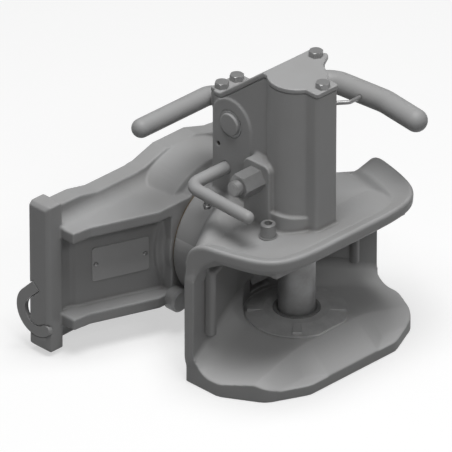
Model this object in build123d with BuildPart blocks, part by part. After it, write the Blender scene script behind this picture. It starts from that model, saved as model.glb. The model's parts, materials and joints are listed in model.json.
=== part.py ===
"""Automatic drawbar coupling with a swivelling jaw on a slide-in carriage.

Millimetres. The origin is where the coupling pin's axis (Z) crosses the swivel
axis (X). +X points out of the jaw, towards the trailer, and +Z points up.
"""

import os
from math import atan, cos, degrees, radians, sin, sqrt, tan

from build123d import *

os.makedirs("parts", exist_ok=True)

# Clearances
running_play = 0.05  # radial, a shaft in its bush
fit_play = 0.05  # radial, a piece pressed or screwed into its seat
turning_gap = 0.3  # axial, between faces that turn on each other

# Coupling pin
pin_radius = 19
pin_low_z = -70
pin_slot_width = 14
lift_pin_radius = 4
pin_land = 2.5

# Opening lever and its lifting finger
lever_x = -71
lever_z = 147
lever_radius = 12
lever_knee_y = 112
lever_joint = (6.1, 119)
lever_tip = (54.5, 113)
lift_half_angle = 40
finger_width = 12
finger_depth = 11
finger_slack = 4.1

# Closing lever and trigger
trigger_x = -77.9
trigger_z = 94.5
trigger_rod_radius = 6.65
trigger_rod_y = -74.8
trigger_rod_tip_x = 4.8

# Rear lever
rear_lever_x = -118
rear_lever_z = 155
rear_lever_radius = 10
rear_lever_tip_y = -101.5

# Carriage
carriage_width = 390
rail_rear_x = -183.5
rail_depth = 27
rail_thickness = 20.5
rail_height = 167
rail_chamfer = 4
flange_depth = 20
rib_outer_z = 56
rib_inner_z = 43.4
panel_depth = 21
hub_radius = 70
hub_front_x = -109
bore_radius = 36

# Swivel
shank_radius = 30
neck_radius = 69
neck_rear_x = -106.4
neck_front_x = -75.6
nut_recess_radius = 60
nut_recess_depth = 34
washer_thickness = 6
nut_thickness = 22
thread_radius = 27

# Jaw
mouth_half_width = 131
upper_top_z = 58
ceiling_z = 44
floor_z = -50
lip_z = -76
lower_bottom_z = -88
upper_lip_x = 66
lower_lip_x = 80
wing_front_x = -14
wing_back_x = -28
throat_x = -46
throat_half_width = 34
bush_radius = 24

# Tower
tower_rear_x = -97
tower_half_width = 21
tower_wall = 7
tower_top_z = 217
tower_radius = 30
tab_z = 170
tab_x = -104
slope_low_x = -86
slope_high_x = -26
cavity_floor_z = 72
boss_front_x = 42
boss_half_width = 15
cover_thickness = 5

# Worked out from the sizes above
lever_reach = -lever_x
lift_rise = lever_reach * tan(radians(lift_half_angle))
pin_travel = 2 * lift_rise
lift_pin_z = lever_z - lift_rise
pin_top_z = lift_pin_z + lift_pin_radius + pin_land
rail_front_x = rail_rear_x + rail_depth
rail_outer_y = carriage_width / 2
rail_inner_y = rail_outer_y - rail_thickness
recess_floor_x = rail_rear_x + nut_recess_depth
washer_rear_x = recess_floor_x - turning_gap - washer_thickness
nut_rear_x = washer_rear_x - nut_thickness


def hexagon_solid(radius, height):
    """A hexagon with its corners turned down at the top, standing on the XY plane."""
    corner = radius * 2 / sqrt(3)
    with BuildPart(mode=Mode.PRIVATE) as solid:
        with BuildSketch():
            RegularPolygon(radius, 6, major_radius=False)
        extrude(amount=height)
        with BuildSketch(Plane.XZ):
            with BuildLine():
                Polyline(
                    (0, 0),
                    (corner, 0),
                    (corner, height - (corner - radius) * 0.6),
                    (radius, height),
                    (0, height),
                    close=True,
                )
            make_face()
        revolve(axis=Axis.Z, mode=Mode.INTERSECT)
    return solid.part


# Rail, one side of the carriage: a flat bar with its outer edges broken
with BuildPart() as rail:
    with Locations((rail_rear_x + rail_depth / 2, -(rail_outer_y + rail_inner_y) / 2, 0)):
        Box(rail_depth, rail_thickness, rail_height)
    outer_face = rail.faces().sort_by(Axis.Y)[0]
    chamfer(outer_face.edges().sort_by(Axis.X)[1:], rail_chamfer)

# Side hook: a C-shaped plate let into the outer face of each rail
hook_x = -175
hook_z = -42
hook_inner = 15.3
hook_outer = 27
hook_thickness = 5
hook_start = 135
hook_sweep = 175
hook_stem = 22


def hook_outline(play):
    """The hook's outline in the XZ plane, grown all round by the play."""
    inner = hook_inner - play
    outer = hook_outer + play
    end = hook_start + hook_sweep
    stem = hook_stem + play
    stem_way = (sin(radians(hook_start)), -cos(radians(hook_start)))

    def at(radius, angle):
        return (hook_x + radius * cos(radians(angle)), hook_z + radius * sin(radians(angle)))

    def stem_end(radius):
        foot = at(radius, hook_start)
        return (foot[0] + stem * stem_way[0], foot[1] + stem * stem_way[1])

    middle = (inner + outer) / 2
    tip = at(middle, end + degrees((outer - inner) / 2 / middle))
    with BuildSketch(mode=Mode.PRIVATE) as outline:
        with BuildLine():
            ThreePointArc(at(outer, hook_start), at(outer, (hook_start + end) / 2), at(outer, end))
            ThreePointArc(at(outer, end), tip, at(inner, end))
            ThreePointArc(at(inner, end), at(inner, (hook_start + end) / 2), at(inner, hook_start))
            Polyline(at(inner, hook_start), stem_end(inner), stem_end(outer), at(outer, hook_start))
        make_face()
    return outline.sketch


with BuildPart() as side_hook_left:
    with BuildSketch(Plane.XZ.offset(rail_outer_y - hook_thickness)):
        add(hook_outline(0))
    extrude(amount=hook_thickness)

with BuildPart() as side_hook_right:
    add(mirror(side_hook_left.part, about=Plane.XZ))

with BuildPart() as rail_with_pocket:
    add(rail.part)
    with BuildSketch(Plane.XZ.offset(rail_outer_y - hook_thickness - fit_play)):
        add(hook_outline(turning_gap))
    extrude(amount=hook_thickness + 1, mode=Mode.SUBTRACT)

# Carriage: one casting between the two rails
flange_outline = [(22, 81), (50, 72), (62, 70.6), (118, 70.6), (142, 75.8), (rail_inner_y + 1, 77)]
hub_root_radius = 81
hub_cone_x = -122
hub_cone_radius = 77
rib_end_x = -138
rib_end_y = 177.5
rib_knee_x = -135.5
rib_knee_y = 156
rib_slope = 0.3755
box_fillet = 14
panel_step = 2
panel_start_y = 160
rib_hub_y = rib_knee_y - (hub_front_x - rib_knee_x) / rib_slope
panel_end_y = hub_radius - 2
panel_end_x = rib_knee_x - panel_depth + rib_slope * (rib_knee_y - panel_end_y)

with BuildPart() as carriage:
    with BuildSketch(Plane.YZ.offset(rail_rear_x)):
        with BuildLine():
            right_low = [(y, -z) for y, z in reversed(flange_outline)]
            left_low = [(-y, -z) for y, z in flange_outline]
            left_top = [(-y, z) for y, z in reversed(flange_outline)]
            Polyline(*flange_outline, *right_low, *left_low, *left_top, close=True)
        make_face()
    extrude(amount=flange_depth)
    with BuildSketch(Plane.XY.offset(-rib_outer_z)):
        with BuildLine():
            half = [(rib_end_x, rib_end_y), (rib_knee_x, rib_knee_y), (hub_front_x, rib_hub_y)]
            other_half = [(x, -y) for x, y in reversed(half)]
            Polyline((rail_rear_x, rail_inner_y + 1), (rail_front_x, rib_end_y), *half, *other_half,
                     (rail_front_x, -rib_end_y), (rail_rear_x, -rail_inner_y - 1), close=True)
        make_face()
    extrude(amount=2 * rib_outer_z)
    fillet(
        carriage.edges().filter_by(Axis.Y).filter_by_position(
            Axis.X, rail_rear_x + flange_depth - 1, rail_rear_x + flange_depth + 1
        ).filter_by(lambda edge: abs(abs(edge.center().Z) - rib_outer_z) < 1),
        box_fillet,
    )
    for side in (-1, 1):
        with BuildSketch(Plane.XY.offset(-rib_inner_z)):
            with BuildLine():
                Polyline(
                    (rib_end_x - panel_depth - panel_step, side * (rib_end_y + 1)),
                    (rib_end_x - panel_depth - panel_step, side * panel_start_y),
                    (rib_knee_x - panel_depth, side * rib_knee_y),
                    (panel_end_x, side * panel_end_y),
                    (hub_front_x + 1, side * panel_end_y),
                    (hub_front_x + 1, side * (rib_end_y + 1)),
                    close=True,
                )
            make_face()
        extrude(amount=2 * rib_inner_z, mode=Mode.SUBTRACT)
    with BuildSketch(Plane.XZ):
        with BuildLine():
            Polyline(
                (rail_rear_x, 0),
                (rail_rear_x, hub_root_radius),
                (rail_rear_x + flange_depth, hub_root_radius),
                (hub_cone_x, hub_cone_radius),
                (hub_cone_x + 3, hub_radius),
                (hub_front_x, hub_radius),
                (hub_front_x, 0),
                close=True,
            )
        make_face()
    revolve(axis=Axis.X)
    with BuildSketch(Plane.YZ.offset(rail_rear_x)):
        Circle(nut_recess_radius)
    extrude(amount=nut_recess_depth, mode=Mode.SUBTRACT)
    with BuildSketch(Plane.YZ.offset(rail_rear_x)):
        Circle(bore_radius + fit_play)
    extrude(amount=hub_front_x - rail_rear_x, mode=Mode.SUBTRACT)
    add(rail_with_pocket.part)
    add(mirror(rail_with_pocket.part, about=Plane.XZ))

# Name plate, left bare, and its two rivets on the left panel
plate_length = 62
plate_height = 38
plate_thickness = 1
plate_y = -110.7
rivet_spacing = 54
rivet_radius = 2.6
panel_x = rib_knee_x - panel_depth + rib_slope * (rib_knee_y + plate_y)
panel_plane = Plane(origin=(panel_x, plate_y, 0), x_dir=(rib_slope, 1, 0), z_dir=(1, -rib_slope, 0))

# Swivel bushes, pressed into the hub from its two ends
bush_length = 18

with BuildPart() as front_bush:
    with BuildSketch(Plane.YZ.offset(hub_front_x - bush_length)):
        Circle(bore_radius)
        Circle(shank_radius + running_play, mode=Mode.SUBTRACT)
    extrude(amount=bush_length)

with BuildPart() as rear_bush:
    with BuildSketch(Plane.YZ.offset(recess_floor_x)):
        Circle(bore_radius)
        Circle(shank_radius + running_play, mode=Mode.SUBTRACT)
    extrude(amount=bush_length)

# Thrust ring between the hub's face and the neck
with BuildPart() as thrust_ring:
    with BuildSketch(Plane.YZ.offset(hub_front_x)):
        Circle(hub_radius - 4)
        Circle(shank_radius + running_play + 1, mode=Mode.SUBTRACT)
    extrude(amount=neck_rear_x - turning_gap - hub_front_x)

# Jaw: a funnel-shaped casting with its shank behind and its lever tower on top
lip_corner = 50
rim_height = 12
rim_width = 9
rim_corner = 4
rim_rear_z = 71
rim_front_z = 64
rim_tilt = (rim_rear_z - rim_front_z) / upper_lip_x
wall_blend = 26
edge_blend = 22
edge_rise = 1.2
ramp_start_x = 49
facet_y = 55
facet_lip_x = 66
facet_drop = 3
profile_end_x = 120
seat_radius = 54
wing_slope = (wing_front_x - throat_x) / (mouth_half_width + 4 - throat_half_width)


def mouth_profile(wall_x, floor, ramp_x, ramp_z, lip_x, lip, blend):
    """Outline of the mouth in the XZ plane: back wall, blend, floor, ramp and lip."""
    with BuildSketch(mode=Mode.PRIVATE) as profile:
        with BuildLine():
            Line((wall_x, ceiling_z), (wall_x, floor + blend))
            RadiusArc((wall_x, floor + blend), (wall_x + blend, floor), -blend)
            Polyline(
                (wall_x + blend, floor),
                (ramp_x, ramp_z),
                (lip_x, lip),
                (profile_end_x, lip),
                (profile_end_x, ceiling_z),
                (wall_x, ceiling_z),
            )
        make_face()
    return profile.sketch


with BuildPart() as upper_rim:
    with BuildSketch(Plane.XY.offset(ceiling_z)):
        with BuildLine() as rim_line:
            FilletPolyline(
                (wing_back_x, mouth_half_width),
                (upper_lip_x, mouth_half_width),
                (upper_lip_x, -mouth_half_width),
                (wing_back_x, -mouth_half_width),
                radius=lip_corner,
            )
            Line((wing_back_x, -mouth_half_width), (wing_back_x, mouth_half_width))
        make_face()
        with BuildLine():
            FilletPolyline(
                (wing_back_x, mouth_half_width - rim_width),
                (upper_lip_x - rim_width, mouth_half_width - rim_width),
                (upper_lip_x - rim_width, -mouth_half_width + rim_width),
                (wing_back_x, -mouth_half_width + rim_width),
                radius=lip_corner - rim_width,
            )
            Line(
                (wing_back_x, -mouth_half_width + rim_width),
                (wing_back_x, mouth_half_width - rim_width),
            )
        make_face(mode=Mode.SUBTRACT)
    extrude(amount=2 * (rim_rear_z - ceiling_z))
    rim_top = Plane(origin=(0, 0, rim_rear_z), z_dir=(rim_tilt, 0, 1))
    split(bisect_by=rim_top, keep=Keep.BOTTOM)
    split(bisect_by=rim_top.offset(-rim_height), keep=Keep.TOP)
    fillet(upper_rim.faces().filter_by(lambda face: face.normal_at().Z > 0.9).edges(), rim_corner)

shoulder_inner_y = 100
shoulder_edge = [(24, 100), (44, 90), (53, 68)]
shoulder_outset = 6
shoulder_drop = 1
boss_corner = 4
collar_radius = 34
collar_flare = 2
collar_top_z = 77
arch_radius = 27
pad_height = 2
cross_x = -22
cross_z = 109.5
cross_radius = 8
cross_bolt_inner_y = 15.5
ledge_width = 36
ledge_top_z = 128
ledge_height = 15
ledge_corner = 8
rear_boss_radius = 17
tab_half_width = 18
rear_lever_end_x = -91
groove_x = -99
groove_depth = 1.5
groove_half_width = 2.4
set_screw_radius = 2
lug_bolt = (-15, 41)
lug_radius = 9
lug_height = 34
lever_boss_radius = 20
lever_boss_height = 4
lever_bush_radius = 14.5
finger_room_x = 28.5
finger_room_half = 8
slot_rear_x = -84
slot_front_x = -52
slot_half_width = 13
slot_low_z = -44
trigger_shaft_end_y = 19
cover_bolt_radius = 3
cover_bolt_length = 11
front_bolt_x = 35
tab_bolt_x = -95.5
tab_bolt_y = 10.5
cover_bolt_places = [
    (front_bolt_x, 0, tower_top_z),
    (lug_bolt[0], lug_bolt[1], tower_top_z),
    (tab_bolt_x, -tab_bolt_y, tab_z),
    (tab_bolt_x, tab_bolt_y, tab_z),
]
cap_screw_x = 5
cap_screw_y = 46
cap_screw_radius = 5
cap_screw_length = 12
nipple_x = -86
nipple_y = -40
nipple_thread = 2.5
nipple_depth = 8
nipple_spot_radius = 5
nipple_seat_z = sqrt(neck_radius**2 - (abs(nipple_y) + nipple_spot_radius) ** 2) - 1.5
plate_hole_x = -88.5
plate_hole_z = 118
plate_hole_radius = 2.5
plate_hole_depth = 3
cotter_radius = 3.5
cotter_x = nut_rear_x + 4

with BuildPart() as jaw:
    # Neck and shank
    with BuildSketch(Plane.YZ.offset(neck_rear_x)):
        Circle(neck_radius)
    extrude(amount=neck_front_x - neck_rear_x)
    with BuildSketch(Plane.YZ.offset(washer_rear_x)):
        Circle(shank_radius)
    extrude(amount=neck_rear_x - washer_rear_x)
    with BuildSketch(Plane.YZ.offset(nut_rear_x)):
        Circle(thread_radius)
    extrude(amount=nut_thickness)
    # Funnel from the neck out to the wings
    mid_z = (upper_top_z + lower_bottom_z) / 2
    frame_height = upper_top_z - lower_bottom_z
    with BuildSketch(Plane.YZ.offset(neck_front_x)):
        RectangleRounded(2 * neck_radius, 2 * neck_radius, neck_radius * 0.98)
    with BuildSketch(Plane.YZ.offset(wing_back_x)):
        with Locations((0, mid_z)):
            RectangleRounded(2 * mouth_half_width, frame_height, 30)
    loft()
    with BuildSketch(Plane.YZ.offset(wing_back_x)):
        with Locations((0, mid_z)):
            RectangleRounded(2 * mouth_half_width, frame_height, 30)
    extrude(amount=wing_front_x - wing_back_x)
    # Lower lip
    with BuildSketch(Plane.XY.offset(lower_bottom_z)):
        with BuildLine():
            corner_points = [(17, 129), (60, 104), (lower_lip_x, 61)]
            mirrored_points = [(x, -y) for x, y in reversed(corner_points)]
            FilletPolyline(
                (wing_back_x, mouth_half_width - 2),
                *corner_points,
                *mirrored_points,
                (wing_back_x, -mouth_half_width + 2),
                radius=25,
            )
            Line((wing_back_x, -mouth_half_width + 2), (wing_back_x, mouth_half_width - 2))
        make_face()
    extrude(amount=ceiling_z - lower_bottom_z)
    # Upper lip
    with BuildSketch(Plane.XY.offset(ceiling_z)):
        with BuildLine():
            FilletPolyline(
                (wing_back_x, mouth_half_width - 3),
                (upper_lip_x - 3, mouth_half_width - 3),
                (upper_lip_x - 3, -mouth_half_width + 3),
                (wing_back_x, -mouth_half_width + 3),
                radius=lip_corner - 3,
            )
            Line((wing_back_x, -mouth_half_width + 3), (wing_back_x, mouth_half_width - 3))
        make_face()
    extrude(amount=upper_top_z - ceiling_z)
    # Mouth: a middle prism with the ramp, and two lofts on each side of it
    middle = mouth_profile(throat_x, floor_z, ramp_start_x, floor_z, lower_lip_x, lip_z, wall_blend)
    facet_wall_x = throat_x + wing_slope * (facet_y - throat_half_width)
    facet = mouth_profile(
        facet_wall_x, floor_z, ramp_start_x, floor_z - facet_drop, facet_lip_x, lip_z, wall_blend
    )
    edge = mouth_profile(
        wing_front_x,
        lip_z + edge_rise,
        ramp_start_x,
        lip_z + edge_rise / 2,
        facet_lip_x,
        lip_z - edge_rise / 2,
        edge_blend,
    )
    with BuildSketch(Plane.XZ.offset(-throat_half_width)):
        add(middle)
    extrude(amount=2 * throat_half_width, mode=Mode.SUBTRACT)
    for side in (-1, 1):
        with BuildSketch(Plane.XZ.offset(side * throat_half_width)):
            add(middle)
        with BuildSketch(Plane.XZ.offset(side * facet_y)):
            add(facet)
        loft(mode=Mode.SUBTRACT)
        with BuildSketch(Plane.XZ.offset(side * facet_y)):
            add(facet)
        with BuildSketch(Plane.XZ.offset(side * (mouth_half_width + 4))):
            add(edge)
        loft(mode=Mode.SUBTRACT)
    add(upper_rim.part)
    # Raised shoulders on the upper lip, left and right of the tower
    corner_radius = lip_corner - shoulder_outset
    corner_x = upper_lip_x - lip_corner
    corner_y = mouth_half_width - lip_corner
    with BuildPart(mode=Mode.PRIVATE) as shoulders:
        with BuildSketch(Plane.XY.offset(upper_top_z - 2)) as shoulder_plan:
            with BuildLine():
                FilletPolyline(
                    (wing_back_x, corner_y + corner_radius),
                    (wing_back_x, shoulder_inner_y),
                    *shoulder_edge,
                    (corner_x + corner_radius, shoulder_edge[-1][1] - 3),
                    (corner_x + corner_radius, corner_y),
                    radius=3,
                )
                RadiusArc(
                    (corner_x + corner_radius, corner_y), (corner_x, corner_y + corner_radius), -corner_radius
                )
                Line((corner_x, corner_y + corner_radius), (wing_back_x, corner_y + corner_radius))
            make_face()
            mirror(about=Plane.XZ)
        extrude(amount=rim_rear_z - upper_top_z + 20)
        split(bisect_by=rim_top.offset(-shoulder_drop), keep=Keep.BOTTOM)
    add(shoulders.part)
    # Tower: two plates, a round front and a narrow boss ahead of it
    with BuildSketch(Plane.XY.offset(ceiling_z)) as tower_plan:
        with Locations((tower_rear_x / 2, 0)):
            Rectangle(-tower_rear_x, 2 * tower_half_width)
        Circle(tower_radius)
        with Locations((boss_front_x / 2, 0)):
            Rectangle(boss_front_x, 2 * boss_half_width)
        fillet(
            tower_plan.vertices().filter_by_position(Axis.X, tower_radius / 2 + 5, boss_front_x + 1),
            boss_corner,
        )
    extrude(amount=tower_top_z - ceiling_z)
    # Collar round the foot of the tower
    with BuildSketch(Plane.XZ):
        with BuildLine():
            Polyline(
                (0, ceiling_z),
                (collar_radius + collar_flare, ceiling_z),
                (collar_radius + collar_flare, upper_top_z),
                (collar_radius, upper_top_z + collar_flare),
                (collar_radius, collar_top_z),
                (0, collar_top_z),
                close=True,
            )
        make_face()
    revolve(axis=Axis.Z)
    # Arch-shaped pad round the lever shaft, and the ledge that carries the cross bolt
    with BuildSketch(Plane.XZ.offset(tower_half_width - 1)):
        with Locations((lever_x, lever_z)):
            Circle(arch_radius)
        with Locations(((tower_rear_x + lever_x + arch_radius) / 2, (lever_z + upper_top_z) / 2)):
            Rectangle(lever_x + arch_radius - tower_rear_x, lever_z - upper_top_z)
        with Locations((tower_rear_x - arch_radius, lever_z)):
            Rectangle(2 * arch_radius, 4 * arch_radius, mode=Mode.SUBTRACT)
    extrude(amount=1 + pad_height)
    with BuildSketch(Plane.XZ.offset(tower_half_width - 1)):
        with Locations((cross_x, (ledge_top_z + ceiling_z) / 2)):
            RectangleRounded(ledge_width, ledge_top_z - ceiling_z, ledge_corner)
    extrude(amount=1 + ledge_height)
    # Boss behind the tower for the rear lever and the cover's tab
    with BuildSketch(Plane.YZ.offset(tab_x)):
        with Locations((0, rear_lever_z)):
            Circle(rear_boss_radius)
        with Locations((0, (rear_lever_z + tab_z) / 2)):
            Rectangle(2 * tab_half_width, tab_z - rear_lever_z)
    extrude(amount=tower_rear_x - tab_x + 1)
    # Lug beside the tower for the third cover bolt
    with BuildSketch(Plane.XY.offset(tower_top_z - lug_height)):
        with Locations(lug_bolt):
            Circle(lug_radius)
        with Locations((lug_bolt[0], (lug_bolt[1] + tower_wall) / 2)):
            Rectangle(2 * lug_radius, lug_bolt[1] - tower_wall)
    extrude(amount=lug_height)
    # Right boss round the lever shaft
    with BuildSketch(Plane.XZ.offset(-tower_half_width)):
        with Locations((lever_x, lever_z)):
            Circle(lever_boss_radius)
    extrude(amount=-lever_boss_height)
    # Sloped top
    with BuildSketch(Plane.XZ.offset(-mouth_half_width)):
        with BuildLine():
            Polyline(
                (tab_x - 1, tab_z),
                (slope_low_x, tab_z),
                (slope_high_x, tower_top_z),
                (slope_high_x, tower_top_z + 1),
                (tab_x - 1, tower_top_z + 1),
                close=True,
            )
        make_face()
    extrude(amount=2 * mouth_half_width, mode=Mode.SUBTRACT)
    # Room inside for the pin, the lifting finger and the trigger arm
    with BuildSketch(Plane.XY.offset(cavity_floor_z)):
        inner_half_width = tower_half_width - tower_wall
        with Locations(((tower_rear_x + tower_wall) / 2, 0)):
            Rectangle(-tower_rear_x - tower_wall, 2 * inner_half_width)
        Circle(tower_radius - tower_wall)
        with Locations((finger_room_x / 2, 0)):
            Rectangle(finger_room_x, 2 * finger_room_half)
    extrude(amount=tower_top_z - cavity_floor_z + 1, mode=Mode.SUBTRACT)
    with Locations(((slot_rear_x + slot_front_x) / 2, 0, (ceiling_z + cavity_floor_z) / 2)):
        Box(
            slot_front_x - slot_rear_x,
            2 * slot_half_width,
            cavity_floor_z - ceiling_z + 2,
            mode=Mode.SUBTRACT,
        )
    with Locations(((slot_rear_x + throat_x) / 2 + 1, 0, (ceiling_z + slot_low_z) / 2)):
        Box(throat_x - slot_rear_x + 2, 2 * slot_half_width, ceiling_z - slot_low_z, mode=Mode.SUBTRACT)
    # Bores for the pin's bushes and the seat of the wear disc
    with BuildSketch(Plane.XY.offset(lower_bottom_z - 1)):
        Circle(bush_radius + fit_play)
    extrude(amount=cavity_floor_z - lower_bottom_z + 2, mode=Mode.SUBTRACT)
    with BuildSketch(Plane.XY.offset(floor_z)):
        Circle(seat_radius)
    extrude(amount=wall_blend, mode=Mode.SUBTRACT)
    # Cross bores of the three levers
    with BuildSketch(Plane.XZ.offset(-tower_half_width - lever_boss_height - 1)):
        with Locations((lever_x, lever_z)):
            Circle(lever_bush_radius + fit_play)
    extrude(amount=2 * tower_half_width + lever_boss_height + pad_height + 2, mode=Mode.SUBTRACT)
    with BuildSketch(Plane.XZ.offset(-trigger_shaft_end_y - turning_gap)):
        with Locations((trigger_x, trigger_z)):
            Circle(trigger_rod_radius + running_play)
    extrude(amount=trigger_shaft_end_y + turning_gap + tower_half_width + pad_height + 1, mode=Mode.SUBTRACT)
    with BuildSketch(Plane.YZ.offset(tab_x - 1)):
        with Locations((0, rear_lever_z)):
            Circle(rear_lever_radius + running_play)
    extrude(amount=rear_lever_end_x + turning_gap - tab_x + 1, mode=Mode.SUBTRACT)
    with BuildSketch(Plane.XZ.offset(-tab_half_width - 1)):
        with Locations((groove_x, rear_lever_z)):
            Circle(set_screw_radius + fit_play)
    extrude(amount=tab_half_width + 1 - rear_lever_radius / 2, mode=Mode.SUBTRACT)
    with BuildSketch(Plane.XZ.offset(cross_bolt_inner_y - turning_gap)):
        with Locations((cross_x, cross_z)):
            Circle(cross_radius + fit_play)
    extrude(amount=tower_half_width + ledge_height, mode=Mode.SUBTRACT)
    # Screw holes
    for x, y, seat in cover_bolt_places:
        with Locations((x, y, seat)):
            Hole(cover_bolt_radius + fit_play, depth=cover_bolt_length - cover_thickness + 1)
    with Locations((cap_screw_x, -cap_screw_y, upper_top_z)):
        Hole(cap_screw_radius + fit_play, depth=cap_screw_length + 1)
    with Locations((nipple_x, nipple_y, nipple_seat_z)):
        Hole(nipple_thread + fit_play, depth=nipple_depth)
    with BuildSketch(Plane.XY.offset(nipple_seat_z)):
        with Locations((nipple_x, nipple_y)):
            Circle(nipple_spot_radius)
    extrude(amount=nipple_spot_radius * 3, mode=Mode.SUBTRACT)
    # Blind hole in the left plate
    with BuildSketch(Plane.XZ.offset(tower_half_width - plate_hole_depth)):
        with Locations((plate_hole_x, plate_hole_z)):
            Circle(plate_hole_radius)
    extrude(amount=plate_hole_depth + pad_height + 1, mode=Mode.SUBTRACT)
    # Cotter hole through the shank's thread
    with BuildSketch(Plane.XY.offset(-thread_radius - 1)):
        with Locations((cotter_x, 0)):
            Circle(cotter_radius + fit_play)
    extrude(amount=2 * thread_radius + 2, mode=Mode.SUBTRACT)

# Swivel's rear end: washer, castle nut and cotter pin
washer_radius = 50
nut_flat_radius = 42
nut_crown_radius = 38
nut_crown_height = 8
nut_slot_width = 9

with BuildPart() as rear_washer:
    with BuildSketch(Plane.YZ.offset(washer_rear_x)):
        Circle(washer_radius)
        Circle(shank_radius + fit_play, mode=Mode.SUBTRACT)
    extrude(amount=washer_thickness)

with BuildPart() as castle_nut:
    with BuildSketch(Plane.YZ.offset(nut_rear_x)):
        Circle(nut_crown_radius)
    extrude(amount=nut_crown_height)
    with BuildSketch(Plane.YZ.offset(nut_rear_x + nut_crown_height)):
        RegularPolygon(nut_flat_radius, 6, major_radius=False)
    extrude(amount=nut_thickness - nut_crown_height)
    with BuildSketch(Plane.YZ.offset(nut_rear_x)):
        Circle(thread_radius + fit_play)
    extrude(amount=nut_thickness, mode=Mode.SUBTRACT)
    with BuildSketch(Plane.YZ.offset(nut_rear_x)):
        with PolarLocations(0, 3, start_angle=90):
            Rectangle(2 * nut_flat_radius, nut_slot_width)
    extrude(amount=nut_crown_height, mode=Mode.SUBTRACT)

with BuildPart() as cotter_pin:
    with BuildSketch(Plane.XY.offset(-nut_crown_radius)):
        with Locations((cotter_x, 0)):
            Circle(cotter_radius)
    extrude(amount=2 * nut_crown_radius)

# Bushes, wear disc and coupling pin
upper_bush_low_z = ceiling_z + 1
lower_bush_low_z = lower_bottom_z + 2
lower_bush_top_z = -43
disc_radius = 52
disc_inner_radius = bush_radius + 0.3
disc_ring_z = -44
disc_edge_z = -48
disc_ring_radius = 33
disc_lug = (16, 9, 3)
disc_lug_radius = 42
pin_chamfer = 4

with BuildPart() as upper_bush:
    with BuildSketch(Plane.XY.offset(upper_bush_low_z)):
        Circle(bush_radius)
        Circle(pin_radius + running_play, mode=Mode.SUBTRACT)
    extrude(amount=cavity_floor_z - upper_bush_low_z)

with BuildPart() as lower_bush:
    with BuildSketch(Plane.XY.offset(lower_bush_low_z)):
        Circle(bush_radius)
        Circle(pin_radius + running_play, mode=Mode.SUBTRACT)
    extrude(amount=lower_bush_top_z - lower_bush_low_z)
    chamfer(lower_bush.faces().sort_by(Axis.Z)[-1].edges().sort_by(SortBy.RADIUS)[0], 2)

with BuildPart() as wear_disc:
    with BuildSketch(Plane.XZ):
        with BuildLine():
            Polyline(
                (disc_inner_radius, floor_z),
                (disc_radius, floor_z),
                (disc_radius, disc_edge_z),
                (disc_ring_radius, disc_ring_z),
                (disc_inner_radius, disc_ring_z),
                close=True,
            )
        make_face()
    revolve(axis=Axis.Z)
    with PolarLocations(disc_lug_radius, 4, start_angle=45):
        with Locations((0, 0, disc_edge_z + disc_lug[2] / 2 + 1)):
            Box(*disc_lug)
    with BuildSketch(Plane.YZ.offset(ramp_start_x)):
        Rectangle(4 * disc_radius, 4 * disc_radius)
    extrude(amount=disc_radius, mode=Mode.SUBTRACT)

finger_low = finger_slack + lift_pin_radius + finger_depth
slot_drop = pin_radius * tan(radians(lift_half_angle)) + finger_low / cos(radians(lift_half_angle)) + 1

with BuildPart() as coupling_pin:
    with BuildSketch(Plane.XY.offset(pin_low_z)):
        Circle(pin_radius)
    extrude(amount=pin_top_z - pin_low_z)
    chamfer(coupling_pin.faces().sort_by(Axis.Z)[0].edges(), pin_chamfer)
    slot_low = lift_pin_z - slot_drop
    with Locations((0, 0, (slot_low + pin_top_z) / 2)):
        Box(2 * pin_radius, pin_slot_width, pin_top_z - slot_low, mode=Mode.SUBTRACT)
    with BuildSketch(Plane.XZ.offset(-pin_radius)):
        with Locations((0, lift_pin_z)):
            Circle(lift_pin_radius + fit_play)
    extrude(amount=2 * pin_radius, mode=Mode.SUBTRACT)

lift_pin_half = 17
with BuildPart() as lift_pin:
    with BuildSketch(Plane.XZ.offset(-lift_pin_half)):
        with Locations((0, lift_pin_z)):
            Circle(lift_pin_radius)
    extrude(amount=2 * lift_pin_half)

# Opening lever: one bent round bar that is also the shaft through the tower
lever_start_y = -(tower_half_width + pad_height + 3)
finger_hub_radius = 16.5
finger_hub_half = 13
finger_length = lever_reach / cos(radians(lift_half_angle)) + 4
finger_pin_radius = 3
spring_hole_x = -16.4
spring_hole_z = 148.3
spring_hole_depth = 7
spring_wire = 2.2

with BuildPart() as opening_lever:
    with BuildLine() as lever_path:
        FilletPolyline(
            (lever_x, lever_start_y, lever_z),
            (lever_x, lever_knee_y, lever_z),
            (lever_joint[0], lever_joint[1], lever_z),
            (lever_tip[0], lever_tip[1], lever_z),
            radius=[26, 40],
        )
    with BuildSketch(Plane(origin=(lever_x, lever_start_y, lever_z), z_dir=(0, 1, 0))):
        Circle(lever_radius)
    sweep(path=lever_path.line)
    with Locations((lever_tip[0], lever_tip[1], lever_z)):
        Sphere(lever_radius)
    with BuildSketch(Plane.XY.offset(lever_z - lever_radius - 1)):
        with Locations((lever_x, 0)):
            Circle(finger_pin_radius + fit_play)
    extrude(amount=2 * lever_radius + 2, mode=Mode.SUBTRACT)
    arm_slope = (lever_joint[1] - lever_knee_y) / (lever_joint[0] - lever_x)
    hole_y = lever_knee_y + arm_slope * (spring_hole_x - lever_x)
    with BuildSketch(Plane.XZ.offset(-(hole_y - lever_radius + spring_hole_depth))):
        with Locations((spring_hole_x, spring_hole_z)):
            Circle(spring_wire + fit_play)
    extrude(amount=2 * spring_hole_depth, mode=Mode.SUBTRACT)

arm_way = (cos(radians(lift_half_angle)), 0, -sin(radians(lift_half_angle)))
finger_plane = Plane(origin=(lever_x, 0, lever_z), x_dir=arm_way, z_dir=(0, -1, 0))
finger_top = -(finger_slack + lift_pin_radius)

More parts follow.
